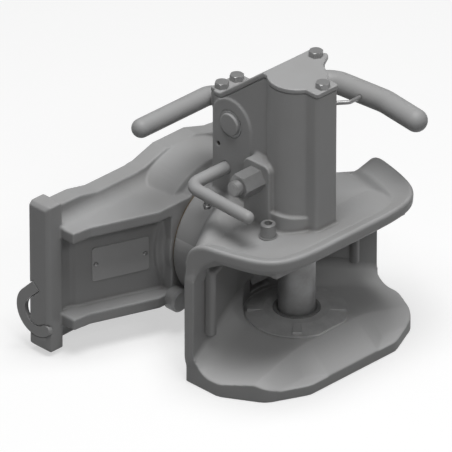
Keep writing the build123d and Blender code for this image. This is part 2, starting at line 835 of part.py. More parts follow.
with BuildPart() as lifting_finger:
    with BuildSketch(finger_plane.offset(-finger_hub_half)):
        Circle(finger_hub_radius)
    extrude(amount=2 * finger_hub_half)
    with BuildSketch(finger_plane.offset(-finger_width / 2)):
        with BuildLine():
            Polyline(
                (0, finger_top),
                (finger_length, finger_top),
                (finger_length, finger_top - finger_depth / 2),
                (finger_length * 0.7, -finger_low),
                (finger_hub_radius, -finger_low),
                (0, -finger_hub_radius + 1),
                close=True,
            )
        make_face()
    extrude(amount=finger_width)
    with BuildSketch(finger_plane.offset(-finger_hub_half)):
        Circle(lever_radius + fit_play)
    extrude(amount=2 * finger_hub_half, mode=Mode.SUBTRACT)
    with BuildSketch(Plane.XY.offset(lever_z - 2 * finger_hub_radius)):
        with Locations((lever_x, 0)):
            Circle(finger_pin_radius + fit_play)
    extrude(amount=4 * finger_hub_radius, mode=Mode.SUBTRACT)

with BuildPart() as finger_pin:
    with BuildSketch(Plane.XY.offset(lever_z - finger_hub_radius + 1)):
        with Locations((lever_x, 0)):
            Circle(finger_pin_radius)
    extrude(amount=2 * finger_hub_radius - 2)

with BuildPart() as lever_bushes:
    left_bush_length = tower_wall + pad_height
    with BuildSketch(Plane.XZ.offset(tower_half_width - tower_wall)):
        with Locations((lever_x, lever_z)):
            Circle(lever_bush_radius)
            Circle(lever_radius + running_play, mode=Mode.SUBTRACT)
    extrude(amount=left_bush_length)
    with BuildSketch(Plane.XZ.offset(-tower_half_width + tower_wall)):
        with Locations((lever_x, lever_z)):
            Circle(lever_bush_radius)
            Circle(lever_radius + running_play, mode=Mode.SUBTRACT)
    extrude(amount=-tower_wall - lever_boss_height)

# Torsion spring on the lever's shaft, with a leg that hooks into the lever
spring_radius = 15.5
spring_turns = 4
spring_pitch = 2 * spring_wire + 0.6
spring_start_y = tower_half_width + lever_boss_height + spring_wire + 1
spring_end_y = spring_start_y + spring_turns * spring_pitch

with BuildPart() as return_spring:
    with BuildLine() as coil_path:
        Helix(
            pitch=spring_pitch,
            height=spring_turns * spring_pitch,
            radius=spring_radius,
            center=(lever_x, spring_start_y, lever_z),
            direction=(0, 1, 0),
        )
    coil_start = coil_path.line @ 0
    with BuildSketch(Plane(origin=coil_start, z_dir=coil_path.line % 0)):
        Circle(spring_wire)
    sweep(path=coil_path.line, is_frenet=True)
    coil_end = coil_path.line @ 1
    with BuildLine() as leg_path:
        FilletPolyline(
            coil_end,
            coil_end + (coil_path.line % 1) * 12,
            (spring_hole_x - 26, spring_end_y + 16, spring_hole_z - 2),
            (spring_hole_x, hole_y - lever_radius - 14, spring_hole_z),
            (spring_hole_x, hole_y - lever_radius + spring_hole_depth - 1, spring_hole_z),
            radius=6,
        )
    with BuildSketch(Plane(origin=leg_path.line @ 0, z_dir=leg_path.line % 0)):
        Circle(spring_wire)
    sweep(path=leg_path.line)

# Rear lever: a bar that turns in the boss behind the tower
with BuildPart() as rear_lever:
    with BuildLine() as rear_path:
        FilletPolyline(
            (rear_lever_end_x, 0, rear_lever_z),
            (rear_lever_x, 0, rear_lever_z),
            (rear_lever_x, rear_lever_tip_y, rear_lever_z),
            radius=rear_lever_radius + 2.5,
        )
    with BuildSketch(Plane(origin=(rear_lever_end_x, 0, rear_lever_z), z_dir=(-1, 0, 0))):
        Circle(rear_lever_radius)
    sweep(path=rear_path.line)
    with Locations((rear_lever_x, rear_lever_tip_y, rear_lever_z)):
        Sphere(rear_lever_radius)
    with BuildSketch(Plane.YZ.offset(groove_x - groove_half_width)):
        with Locations((0, rear_lever_z)):
            Circle(rear_lever_radius + 1)
            Circle(rear_lever_radius - groove_depth, mode=Mode.SUBTRACT)
    extrude(amount=2 * groove_half_width, mode=Mode.SUBTRACT)

with BuildPart() as set_screw:
    with BuildSketch(Plane.XZ.offset(-tab_half_width)):
        with Locations((groove_x, rear_lever_z)):
            Circle(set_screw_radius)
    extrude(amount=tab_half_width - rear_lever_radius + groove_depth - turning_gap)

# Closing lever: a bent rod across the tower, with the trigger arm on it
trigger_hub_radius = 11
trigger_hub_half = 9
trigger_arm_half = 5
trigger_pad_half = 11
trigger_arm_width = 11
trigger_foot = (-59.5, -22)
pad_low = (-52, -36)
pad_high = (-62, -12)
pad_thickness = 7

with BuildPart() as closing_lever:
    with BuildLine() as rod_path:
        FilletPolyline(
            (trigger_x, trigger_shaft_end_y, trigger_z),
            (trigger_x, trigger_rod_y, trigger_z),
            (trigger_rod_tip_x, trigger_rod_y, trigger_z - 3),
            radius=2 * trigger_rod_radius,
        )
    with BuildSketch(Plane(origin=(trigger_x, trigger_shaft_end_y, trigger_z), z_dir=(0, -1, 0))):
        Circle(trigger_rod_radius)
    sweep(path=rod_path.line)
    with Locations((trigger_rod_tip_x, trigger_rod_y, trigger_z - 3)):
        Sphere(trigger_rod_radius)

with BuildPart() as trigger_arm:
    with BuildSketch(Plane.XZ.offset(-trigger_hub_half)):
        with Locations((trigger_x, trigger_z)):
            Circle(trigger_hub_radius)
    extrude(amount=2 * trigger_hub_half)
    half = trigger_arm_width / 2
    with BuildSketch(Plane.XZ.offset(-trigger_arm_half)):
        with BuildLine():
            Polyline(
                (trigger_x - half, trigger_z),
                (trigger_foot[0] - half, trigger_foot[1]),
                (trigger_foot[0] + half, trigger_foot[1]),
                (trigger_x + half, trigger_z),
                close=True,
            )
        make_face()
    extrude(amount=2 * trigger_arm_half)
    with BuildSketch(Plane.XZ.offset(-trigger_pad_half)):
        with BuildLine():
            Polyline(
                pad_low,
                pad_high,
                (pad_high[0] - pad_thickness * 0.4, pad_high[1] - pad_thickness * 0.6),
                (pad_low[0] - pad_thickness, pad_low[1]),
                close=True,
            )
        make_face()
    extrude(amount=2 * trigger_pad_half)
    with BuildSketch(Plane.XZ.offset(-trigger_hub_half)):
        with Locations((trigger_x, trigger_z)):
            Circle(trigger_rod_radius + fit_play)
    extrude(amount=2 * trigger_hub_half, mode=Mode.SUBTRACT)

# Top cover: one bent sheet, flat on top, sloped behind and flat again on the tab
cover_edge = 0.5
cover_finger = [(2.3, 34), (-7, 50.5), (-11, 52.5), (-14, 51), (-13, 46.5)]
cover_lug = [(-18, 50), (-25, 50), (-29, 46), (-29, tower_half_width)]

with BuildPart() as top_cover:
    with BuildSketch(Plane.XY.offset(tab_z - 1)):
        with Locations((tower_rear_x / 2, 0)):
            Rectangle(-tower_rear_x, 2 * (tower_half_width + cover_edge))
        with Locations(((tower_rear_x + tab_x) / 2, 0)):
            Rectangle(tower_rear_x - tab_x, 2 * tab_half_width)
        Circle(tower_radius + cover_edge)
        with Locations((boss_front_x / 2, 0)):
            RectangleRounded(boss_front_x + 2 * cover_edge, 2 * (boss_half_width + cover_edge), boss_corner)
        with BuildLine():
            Polyline((0, 0), (tower_radius * 0.6, tower_radius * 0.8), *cover_finger, *cover_lug, close=True)
        make_face()
    extrude(amount=tower_top_z - tab_z + cover_thickness + 2)
    slope_way = (slope_high_x - slope_low_x, tower_top_z - tab_z)
    slope_angle = atan(slope_way[1] / slope_way[0])
    shift = cover_thickness * tan(slope_angle / 2)
    with BuildSketch(Plane.XZ.offset(-mouth_half_width)):
        with BuildLine():
            Polyline(
                (tab_x, tab_z),
                (slope_low_x, tab_z),
                (slope_high_x, tower_top_z),
                (boss_front_x + 1, tower_top_z),
                (boss_front_x + 1, tower_top_z + cover_thickness),
                (slope_high_x - shift, tower_top_z + cover_thickness),
                (slope_low_x - shift, tab_z + cover_thickness),
                (tab_x, tab_z + cover_thickness),
                close=True,
            )
        make_face()
    extrude(amount=2 * mouth_half_width, mode=Mode.INTERSECT)
    for x, y, seat in cover_bolt_places:
        with Locations((x, y, seat + cover_thickness)):
            Hole(cover_bolt_radius + fit_play, depth=cover_thickness)

# Screws and nuts
bolt_head_radius = 6.5
bolt_head_height = 6
cap_head_radius = 7.75
cap_head_height = 14
cap_washer_radius = 9.5
cap_washer_thickness = 1.6
cap_socket_radius = 4
cap_socket_depth = 7
cross_nut_radius = 12
cross_nut_start_y = 36
cross_nut_end_y = 61
cross_bolt_outer_y = 69.5

with BuildPart() as cover_bolts:
    for x, y, seat in cover_bolt_places:
        with BuildSketch(Plane.XY.offset(seat + cover_thickness - cover_bolt_length)):
            with Locations((x, y)):
                Circle(cover_bolt_radius)
        extrude(amount=cover_bolt_length)
        with Locations((x, y, seat + cover_thickness)):
            add(hexagon_solid(bolt_head_radius, bolt_head_height))

with BuildPart() as cap_washer:
    with BuildSketch(Plane.XY.offset(upper_top_z)):
        with Locations((cap_screw_x, -cap_screw_y)):
            Circle(cap_washer_radius)
            Circle(cap_screw_radius + fit_play, mode=Mode.SUBTRACT)
    extrude(amount=cap_washer_thickness)

with BuildPart() as cap_screw:
    head_z = upper_top_z + cap_washer_thickness
    with BuildSketch(Plane.XY.offset(upper_top_z - cap_screw_length)):
        with Locations((cap_screw_x, -cap_screw_y)):
            Circle(cap_screw_radius)
    extrude(amount=cap_screw_length + cap_washer_thickness)
    with BuildSketch(Plane.XY.offset(head_z)):
        with Locations((cap_screw_x, -cap_screw_y)):
            Circle(cap_head_radius)
    extrude(amount=cap_head_height)
    chamfer(cap_screw.faces().sort_by(Axis.Z)[-1].edges(), 1)
    with BuildSketch(Plane.XY.offset(head_z + cap_head_height - cap_socket_depth)):
        with Locations((cap_screw_x, -cap_screw_y)):
            RegularPolygon(cap_socket_radius, 6, major_radius=False)
    extrude(amount=cap_socket_depth, mode=Mode.SUBTRACT)

with BuildPart() as cross_bolt:
    with BuildSketch(Plane.XZ.offset(cross_bolt_inner_y)):
        with Locations((cross_x, cross_z)):
            Circle(cross_radius)
    extrude(amount=cross_bolt_outer_y - cross_bolt_inner_y)
    chamfer(cross_bolt.faces().sort_by(Axis.Y)[0].edges(), 1.5)

with BuildPart() as cross_nut:
    with BuildSketch(Plane.XZ.offset(cross_nut_start_y)):
        with Locations((cross_x, cross_z)):
            RegularPolygon(cross_nut_radius, 6, rotation=30, major_radius=False)
            Circle(cross_radius + fit_play, mode=Mode.SUBTRACT)
    extrude(amount=cross_nut_end_y - cross_nut_start_y)

with BuildPart() as grease_nipple:
    with BuildSketch(Plane.XZ):
        with BuildLine():
            Polyline(
                (0, -nipple_depth + 1),
                (nipple_thread, -nipple_depth + 1),
                (nipple_thread, 0),
                (4, 0),
                (4, 4),
                (2, 5),
                (2, 7),
                (2.8, 8.5),
                (2.2, 10),
                (0, 10.5),
                close=True,
            )
        make_face()
    revolve(axis=Axis.Z)
grease_nipple.part = grease_nipple.part.moved(Location((nipple_x, nipple_y, nipple_seat_z)))

# Name plate and rivets on the left panel
with BuildPart() as name_plate:
    with BuildSketch(panel_plane):
        RectangleRounded(plate_length, plate_height, 3)
        with Locations((-rivet_spacing / 2, 0), (rivet_spacing / 2, 0)):
            Circle(rivet_radius / 2 + fit_play, mode=Mode.SUBTRACT)
    extrude(amount=plate_thickness)

with BuildPart() as plate_rivets:
    with BuildSketch(panel_plane):
        with Locations((-rivet_spacing / 2, 0), (rivet_spacing / 2, 0)):
            Circle(rivet_radius / 2)
    extrude(amount=plate_thickness)
    with BuildSketch(panel_plane.offset(plate_thickness)):
        with Locations((-rivet_spacing / 2, 0), (rivet_spacing / 2, 0)):
            Circle(rivet_radius)
    extrude(amount=1.8)
    rivet_tops = plate_rivets.faces().sort_by(Axis((0, 0, 0), tuple(panel_plane.z_dir)))[-2:]
    fillet(rivet_tops.edges(), 1.5)

# Swivel detent on the carriage, below the neck on the left
detent_y = -67
detent_z = -50
detent_radius = 12.5
detent_length = 13

with BuildPart() as swivel_detent:
    with BuildSketch(Plane.YZ.offset(hub_front_x)):
        with Locations((detent_y, detent_z)):
            Circle(detent_radius)
    extrude(amount=detent_length)
    chamfer(swivel_detent.faces().sort_by(Axis.X)[-1].edges(), 2)

# Guard plates on the wings, each with a round bead on its outer edge
guard_thickness = 4
guard_outer_y = 108
guard_inner_y = 48
guard_top_z = 42
guard_outer_low_z = -41
guard_inner_low_z = -20
guard_bead_radius = 5
guard_bead_top_z = 30
guard_bead_run = 14


def guard_at(y, gap):
    """X of a point that stands off the left wing by the gap, at |Y| = y."""
    return throat_x + wing_slope * (y - throat_half_width) + gap


with BuildPart() as wing_guard_left:
    wing_way = Vector(-wing_slope, 1, 0).normalized()
    guard_plane = Plane(
        origin=(guard_at(guard_inner_y, turning_gap), -guard_inner_y, 0),
        x_dir=wing_way,
        z_dir=Vector(1, wing_slope, 0).normalized(),
    )
    guard_length = (guard_outer_y - guard_inner_y) * sqrt(1 + wing_slope**2)
    with BuildSketch(guard_plane):
        with BuildLine():
            Polyline(
                (0, guard_inner_low_z),
                (-guard_length, guard_outer_low_z),
                (-guard_length, guard_top_z),
                (0, guard_top_z),
                close=True,
            )
        make_face()
    extrude(amount=guard_thickness)
    bead_way = -guard_length + guard_bead_radius
    bead_low = guard_plane.from_local_coords((bead_way, guard_outer_low_z, guard_bead_radius))
    bead_top = guard_plane.from_local_coords((bead_way, guard_bead_top_z, guard_bead_radius))
    bead_end = guard_plane.from_local_coords((bead_way + guard_bead_run, guard_bead_top_z, guard_bead_radius))
    with BuildSketch(Plane(origin=bead_low, z_dir=(0, 0, 1))):
        Circle(guard_bead_radius)
    extrude(amount=guard_bead_top_z - guard_outer_low_z)
    with BuildSketch(Plane(origin=bead_top, z_dir=wing_way)):
        Circle(guard_bead_radius)
    extrude(amount=guard_bead_run)
    with Locations(bead_top, bead_end):
        Sphere(guard_bead_radius)

with BuildPart() as wing_guard_right:
    add(mirror(wing_guard_left.part, about=Plane.XZ))

pieces = {
    "carriage": carriage,
    "name_plate": name_plate,
    "plate_rivets": plate_rivets,
    "side_hook_left": side_hook_left,
    "side_hook_right": side_hook_right,
    "front_bush": front_bush,
    "rear_bush": rear_bush,
    "thrust_ring": thrust_ring,
    "swivel_detent": swivel_detent,
    "jaw": jaw,
    "rear_washer": rear_washer,
    "castle_nut": castle_nut,
    "cotter_pin": cotter_pin,
    "upper_bush": upper_bush,
    "lower_bush": lower_bush,
    "wear_disc": wear_disc,
    "wing_guard_left": wing_guard_left,
    "wing_guard_right": wing_guard_right,
    "top_cover": top_cover,
    "cover_bolts": cover_bolts,
    "cap_screw": cap_screw,
    "cap_washer": cap_washer,
    "cross_bolt": cross_bolt,
    "cross_nut": cross_nut,
    "grease_nipple": grease_nipple,
    "lever_bushes": lever_bushes,
    "set_screw": set_screw,
    "coupling_pin": coupling_pin,
    "lift_pin": lift_pin,
    "opening_lever": opening_lever,
    "lifting_finger": lifting_finger,
    "finger_pin": finger_pin,
    "return_spring": return_spring,
    "rear_lever": rear_lever,
    "closing_lever": closing_lever,
    "trigger_arm": trigger_arm,
}
for name, piece in pieces.items():
    piece.part.label = name
    export_step(piece.part, f"parts/{name}.step")
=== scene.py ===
# %% [markdown]
# # A trailer hitch with a swivelling jaw
# This part is the coupling at the back of a tractor. A drawbar's eye slides into the funnel-shaped
# jaw, and a steel pin drops through it. The jaw turns on a shank in a carriage, whose two rails slide
# into the tractor's hitch frame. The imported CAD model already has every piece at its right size, so
# this script keeps those sizes and gives each piece the surface that the real one has: cast iron under
# grey paint, turned steel, rolled plate, zinc-plated screws and bearing bronze.

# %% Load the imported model
import json
from math import cos, radians, sin, sqrt

import bmesh
import bpy
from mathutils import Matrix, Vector


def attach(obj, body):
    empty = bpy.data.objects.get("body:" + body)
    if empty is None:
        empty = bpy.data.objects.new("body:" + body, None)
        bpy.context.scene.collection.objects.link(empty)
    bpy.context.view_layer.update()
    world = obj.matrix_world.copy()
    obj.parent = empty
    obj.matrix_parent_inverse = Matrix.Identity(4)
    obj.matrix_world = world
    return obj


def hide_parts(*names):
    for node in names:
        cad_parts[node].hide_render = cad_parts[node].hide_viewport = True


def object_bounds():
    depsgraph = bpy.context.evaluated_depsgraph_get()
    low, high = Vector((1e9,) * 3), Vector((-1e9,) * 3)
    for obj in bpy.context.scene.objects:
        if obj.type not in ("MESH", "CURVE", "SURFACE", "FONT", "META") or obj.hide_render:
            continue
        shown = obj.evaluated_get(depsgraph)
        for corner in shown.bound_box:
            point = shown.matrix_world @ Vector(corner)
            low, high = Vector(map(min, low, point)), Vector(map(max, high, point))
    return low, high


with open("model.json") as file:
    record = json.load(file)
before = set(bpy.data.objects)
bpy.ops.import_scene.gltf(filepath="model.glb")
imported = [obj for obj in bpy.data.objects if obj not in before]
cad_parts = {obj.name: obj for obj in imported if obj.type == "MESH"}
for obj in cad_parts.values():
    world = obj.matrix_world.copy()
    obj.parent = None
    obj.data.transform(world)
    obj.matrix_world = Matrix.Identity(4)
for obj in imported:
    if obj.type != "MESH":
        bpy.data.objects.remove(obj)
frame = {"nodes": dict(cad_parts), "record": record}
cad_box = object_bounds()
MM = 0.001
slot_of = {part["node"]: part["material_slot"] for part in frame["record"]["subparts"]}
body_of = {
    node: body
    for body, nodes in frame["record"]["behaviour"]["bodies"].items()
    for node in nodes
}

# %% [markdown]
# ## The camera
# The picture is a parallel view from the front left, 45 degrees round and 30 degrees up. A very long
# lens far away comes so close to a parallel view that the tower's top shifts by only 1.5 mm, and it
# stays an ordinary camera that other views can turn. The picture is 452 mm wide at the pin.

# %% Camera
azimuth = radians(45)
elevation = radians(30)
picture_width = 452 * MM
aim_right = -70.9 * MM
aim_up = 42.7 * MM
lens = 900
sensor = 36
right = Vector((sin(azimuth), cos(azimuth), 0))
back = Vector((cos(azimuth) * cos(elevation), -sin(azimuth) * cos(elevation), sin(elevation)))
up = back.cross(right)
target = aim_right * right + aim_up * up
distance = picture_width * lens / sensor

camera_data = bpy.data.cameras.new("picture_camera")
camera_data.lens = lens
camera_data.sensor_width = sensor
camera_data.clip_end = 60
camera = bpy.data.objects.new("picture_camera", camera_data)
camera.location = target + back * distance
camera.rotation_euler = back.to_track_quat("Z", "Y").to_euler()
bpy.context.collection.objects.link(camera)
bpy.context.scene.camera = camera
print("camera stands", round(distance, 2), "m away")

# %% [markdown]
# ## Shader maths
# A finish is a small sum of noises: a little colour change here, a little roughness there, a bump
# for the grain of the casting. Written as nodes and links that is long, so one small class wraps a
# socket and lets ordinary operators add the Math nodes.


# %% A socket that can be added and multiplied
class Signal:
    """A value socket in a material, which the operators + - * turn into Math nodes."""

    def __init__(self, finish, socket):
        self.finish = finish
        self.socket = socket

    def _maths(self, operation, first, second):
        return self.finish.node("Math", {"operation": operation}, {0: first, 1: second})

    def __add__(self, other):
        return self._maths("ADD", self, other)

    __radd__ = __add__

    def __sub__(self, other):
        return self._maths("SUBTRACT", self, other)

    def __rsub__(self, other):
        return self._maths("SUBTRACT", other, self)

    def __mul__(self, other):
        return self._maths("MULTIPLY", self, other)

    __rmul__ = __mul__


class Finish:
    """One material being written: node() adds any node, surface() sets the shader's sockets."""

    def __init__(self, name):
        self.material = bpy.data.materials.new(name)
        self.material.use_nodes = True
        self.tree = self.material.node_tree
        self.shader = self.tree.nodes["Principled BSDF"]

    def _feed(self, socket, value):
        if isinstance(value, Signal):
            self.tree.links.new(value.socket, socket)
        else:
            socket.default_value = value

    def node(self, kind, settings=None, sockets=None, out=0):
        """Adds a node of that kind, makes its settings, then feeds its sockets."""
        made = self.tree.nodes.new("ShaderNode" + kind)
        for key, value in (settings or {}).items():
            if key == "stops":
                ramp = made.color_ramp.elements
                for index, (place, grey) in enumerate(value):
                    stop = ramp[index] if index < len(ramp) else ramp.new(place)
                    stop.position = place
                    stop.color = (grey, grey, grey, 1)
            else:
                setattr(made, key, value)
        for key, value in (sockets or {}).items():
            self._feed(made.inputs[key], value)
        return Signal(self, made.outputs[out])

    def place(self):
        """The point on the piece, in metres; every piece's own frame is the shared one."""
        return self.node("TexCoord", out="Object")

    def noise(self, size, detail, stretch=(1, 1, 1)):
        """Noise between 0 and 1 whose features are about that size, in metres."""
        where = self.node("Mapping", {}, {"Vector": self.place(), "Scale": stretch})
        sockets = {"Vector": where, "Scale": 1 / size, "Detail": detail, "Roughness": 0.55}
        return self.node("TexNoise", {}, sockets)

    def band(self, value, low, high):
        """0 where the value is under low, 1 where it is over high, and a straight ramp between."""
        stops = {"stops": [(low, 0), (high, 1)]}
        return self.node("ValToRGB", stops, {"Fac": value})

    def mix(self, amount, first, second):
        """A colour between two colours."""
        settings = {"data_type": "RGBA"}
        return self.node("Mix", settings, {0: amount, 6: first, 7: second}, out=2)

    def bump(self, height, depth, under=None):
        """Turns a height between 0 and 1 into a bumped normal, depth metres from 0 to 1."""
        sockets = {"Height": height, "Distance": depth}
        if under is not None:
            sockets["Normal"] = under
        return self.node("Bump", {}, sockets)

    def openness(self, reach, inside=False):
        """How open the surface is within that reach, or how thick the metal is under it if inside."""
        settings = {"samples": 8, "only_local": True, "inside": inside}
        return self.node("AmbientOcclusion", settings, {"Distance": reach}, out="AO")

    def surface(self, **sockets):
        """Feeds the shader's sockets, with spaces written as underscores."""
        for key, value in sockets.items():
            self._feed(self.shader.inputs[key.replace("_", " ")], value)
        return self.material


def grey(level, warmth=0.0):
    """A colour of that linear level, a little warm if warmth is above 0 and cold below."""
    return (level * (1 + warmth), level, level * (1 - warmth), 1)


# %% [markdown]
# ## Painted castings
# The jaw and the carriage are sand castings. The sand leaves a fine pebbly skin and slow waves in
# the flat faces, and the spray gun lays an even semi-gloss coat over both. The inner corners are
# painted darker, for dust and dark primer and as painted shade, and the outer edges are painted a
# shade lighter, for thin rubbed paint and as a painted highlight. Ambient occlusion finds the
# corners, and a fine noise breaks up the mask so that it never looks drawn. The drawbar's eye slides
# on the floor of the mouth, so the jaw's paint is scraped paler there; the same lighter colour on the
# mouth's upward faces is also painted light where the upper lip shades them.


# %% Finish of painted metal
cloud_size = 45 * MM
speck_size = 1.6 * MM
pebble_size = 0.9 * MM
sand_size = 3.2 * MM
wave_size = 28 * MM
corner_reach = 9 * MM
edge_reach = 2.5 * MM
# painted shade: inner corners darken to this share of the paint's level, for dust and for the shade there
dust_and_shade_share = 0.5
# painted highlight: outer edges lighten by this share, for thin worn paint and for an edge highlight
wear_and_highlight_share = 1.35
# painted light: gain on the upward faces low in the mouth, for scraped paint and for light into its shade
worn_and_lit_gain = 1.7


def painted(name, level, grain, wave, roughness, worn_and_lit_below=None):
    """Grey paint over metal whose grain and slow waves have those depths in metres."""
    coat = Finish(name)
    cloud = coat.noise(cloud_size, 3)
    speck = coat.noise(speck_size, 2)
    # painted shade: ambient occlusion darkens the inner corners, as dust and dark primer and as shade
    corner = coat.band(coat.openness(corner_reach) + (cloud - 0.5) * 0.3, 0.35, 0.8)
    # painted highlight: thin outer edges are lightened, as worn paint and as an edge highlight
    edge = coat.band(coat.openness(edge_reach, inside=True) + (speck - 0.5) * 0.35, 0.25, 0.62)
    even = coat.mix(cloud, grey(level * 0.93, 0.01), grey(level * 1.07, -0.01))
    dusty_and_shaded = coat.mix(corner, grey(level * dust_and_shade_share, 0.05), even)
    coat_with_wear_and_light = coat.mix(edge, grey(level * wear_and_highlight_share), dusty_and_shaded)
    # painted light: upward faces below this height are lightened, as scraped paint and as light under the
    # lip
    if worn_and_lit_below is not None:
        facing = coat.node("SeparateXYZ", {}, {0: coat.node("NewGeometry", out="Normal")}, out="Z")
        height = coat.node("SeparateXYZ", {}, {0: coat.place()}, out="Z")
        deep = coat.node("Math", {"operation": "LESS_THAN"}, {0: height, 1: worn_and_lit_below})
        scraped_and_lit = coat.band(facing + (cloud - 0.5) * 0.25, 0.1, 0.45) * deep
        coat_with_wear_and_light = coat.mix(scraped_and_lit, coat_with_wear_and_light, grey(level * worn_and_lit_gain))
    pebble = coat.bump(coat.noise(pebble_size, 2), grain)
    sand = coat.bump(coat.noise(sand_size, 2), grain * 2, under=pebble)
    slow = coat.bump(coat.noise(wave_size, 1), wave, under=sand)
    return coat.surface(
        Base_Color=coat_with_wear_and_light,
        Roughness=roughness + (speck - 0.5) * 0.18 + (cloud - 0.5) * 0.12,
        Normal=slow,
        Specular_IOR_Level=0.4,
    )


paint_level = 0.38
sand_grain = 0.05 * MM
sand_wave = 0.5 * MM
plate_grain = 0.015 * MM
plate_wave = 0.1 * MM
# height under which the mouth's upward faces are lightened, as scraped paint and as painted light
mouth_floor = 20 * MM
finishes = {
    "cast_carriage": painted("painted_casting_carriage", paint_level, sand_grain, sand_wave, 0.5),
    "cast_jaw": painted("painted_casting_jaw", paint_level, sand_grain, sand_wave, 0.5, mouth_floor),
    "plate": painted("painted_plate", paint_level * 1.03, plate_grain, plate_wave, 0.42),
}
print("painted finishes", sorted(finishes))

# %% [markdown]
# ## Bare metal
# The pin, bushes and washers are turned, so fine rings run round them; plating and bronze have no
# rings to speak of, but a mottled sheen. All of them keep a film of oil and dust, so none is a
# mirror. The rings are a noise that is squeezed along the axis and stretched round it. The disc that
# the eye rests on is rubbed bright, and its colour is also painted lighter as painted light where it
# sits in the shade of the mouth, so it has a finish of its own.


# %% Finishes of bare metal
stain_size = 14 * MM
dirt_size = 0.7 * MM
ring_width = 0.5 * MM
mottle_size = 1.1 * MM
ring_depth = 0.012 * MM


def bare_metal(name, colour, stained, roughness, ring_axis, metallic):
    """Metal between a clean and a stained colour, with turned rings across an axis unless it is None."""
    metal = Finish(name)
    cloud = metal.noise(stain_size, 3)
    speck = metal.noise(dirt_size, 2)
    stretch = tuple(1 if axis == ring_axis else 0.02 for axis in "XYZ") if ring_axis else (1, 1, 1)
    rings = metal.noise(ring_width if ring_axis else mottle_size, 1, stretch)
    stain = metal.band(cloud + (speck - 0.5) * 0.25, 0.35, 0.75)
    return metal.surface(
        Base_Color=metal.mix(stain, colour, stained),
        Metallic=metallic,
        Roughness=roughness + (rings - 0.5) * 0.2 + (cloud - 0.5) * 0.2,
        Normal=metal.bump(rings, ring_depth),
    )


finishes["machined_steel"] = bare_metal(
    "turned_steel", grey(0.39, -0.01), grey(0.3, 0.01), 0.42, "Z", 0.25
)
# painted light: the wear disc is far lighter than turned steel, as rubbed metal and as light into the
# mouth
rubbed_and_lit_steel = bare_metal("rubbed_and_lit_disc_steel", grey(0.72), grey(0.6), 0.45, "Z", 0.1)
finishes["zinc_steel"] = bare_metal("zinc_plated_steel", grey(0.37), grey(0.3), 0.4, None, 0.4)
finishes["spring_steel"] = bare_metal("spring_wire", grey(0.43), grey(0.3), 0.36, None, 0.5)
finishes["bronze"] = bare_metal(
    "bearing_bronze", (0.29, 0.22, 0.14, 1), (0.18, 0.15, 0.11, 1), 0.45, "X", 0.5
)
print("finishes for", sorted(finishes))

# %% [markdown]
# ## Every CAD piece takes its finish
# The record names a material slot for each piece, so the finish follows from the slot. Naming the
# finish piece by piece would work too, but a new piece could then be forgotten. Only the wear disc
# departs from its slot, because it is rubbed bright and painted lighter as painted light in the
# shaded mouth, and the other turned pieces aren't.

# %% Give each node its finish
for name, node in frame["nodes"].items():
    node.data.materials.clear()
    node.data.materials.append(finishes[slot_of[name]])
frame["nodes"]["wear_disc"].data.materials[0] = rubbed_and_lit_steel
print("slots used", sorted(set(slot_of.values())))

# %% [markdown]
# ## Rounded castings, forgings and pressed plates
# No casting has a sharp corner: sand crumbles and iron won't fill it, so every edge has a radius of
# some 2 to 4 mm, and forged levers and punched plates have about 1 mm. Bevelling a CAD mesh leaves
# knots where many faces meet. Remeshing into small voxels and smoothing rounds every corner by the
# same amount, just as a mould does, so that is the way used here. The new skin stands for its node.


# %% A rounded skin from a node
most_triangles = 170000
cast_voxel = 1.2 * MM
forged_voxel = 1.0 * MM
fine_voxel = 0.8 * MM


def settle(piece):
    """Makes what the modifiers give the piece's own mesh."""
    bpy.context.view_layer.update()
    shape = piece.evaluated_get(bpy.context.evaluated_depsgraph_get())
    mesh = bpy.data.meshes.new_from_object(shape)
    piece.modifiers.clear()
    piece.data = mesh


def skin(name, node_name, voxel, passes, reshape=None):
    """A copy of a node's shape with all corners rounded by about a voxel, riding on its body."""
    mesh = frame["nodes"][node_name].data.copy()
    mesh.name = name
    work = bmesh.new()
    work.from_mesh(mesh)
    bmesh.ops.remove_doubles(work, verts=work.verts, dist=0.001 * MM)
    work.to_mesh(mesh)
    work.free()
    piece = bpy.data.objects.new(name, mesh)
    bpy.context.collection.objects.link(piece)
    if reshape:
        reshape(piece)
    remesh = piece.modifiers.new("voxels", "REMESH")
    remesh.mode = "VOXEL"
    remesh.voxel_size = voxel
    smooth = piece.modifiers.new("rounding", "SMOOTH")
    smooth.factor = 0.5
    smooth.iterations = passes
    settle(piece)
    triangles = 2 * len(piece.data.polygons)
    if triangles > most_triangles:
        thin = piece.modifiers.new("thinning", "DECIMATE")
        thin.ratio = most_triangles / triangles
        settle(piece)
    piece.data.shade_smooth()
    piece.data.materials.clear()
    piece.data.materials.append(finishes[slot_of[node_name]])
    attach(piece, body_of[node_name])
    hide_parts(node_name)
    print(name, "faces", len(piece.data.polygons))


# %% [markdown]
# ## The flared upper lip
# The upper lip of the jaw is a funnel too: its plate bends up a little in front of the pin, and a
# flared band runs round its front and sides and ends in a round bead. The band is one closed loft: a
# section that is carried along the lip's outline, drawn as a polygon and rounded by cutting its
# corners. The plain lip of the CAD solid is cut off first, and the voxels then weld the rest.

# %% Outline of the lip
lip_front = 79.6
lip_corners = [(-27, 131), (34, 118.5), (66, 103), (lip_front, 72), (lip_front, 0)]
lip_top = 75
lip_rear_x = -2
lip_rear_radius = 25


def rounded_line(points, passes=3):
    """The points of an open line whose corners are cut again and again until it is round."""
    for _ in range(passes):
        cut = [points[0]]
        for first, second in zip(points, points[1:]):
            cut.append(first.lerp(second, 0.25))
            cut.append(first.lerp(second, 0.75))
        points = cut + [points[-1]]
    return points


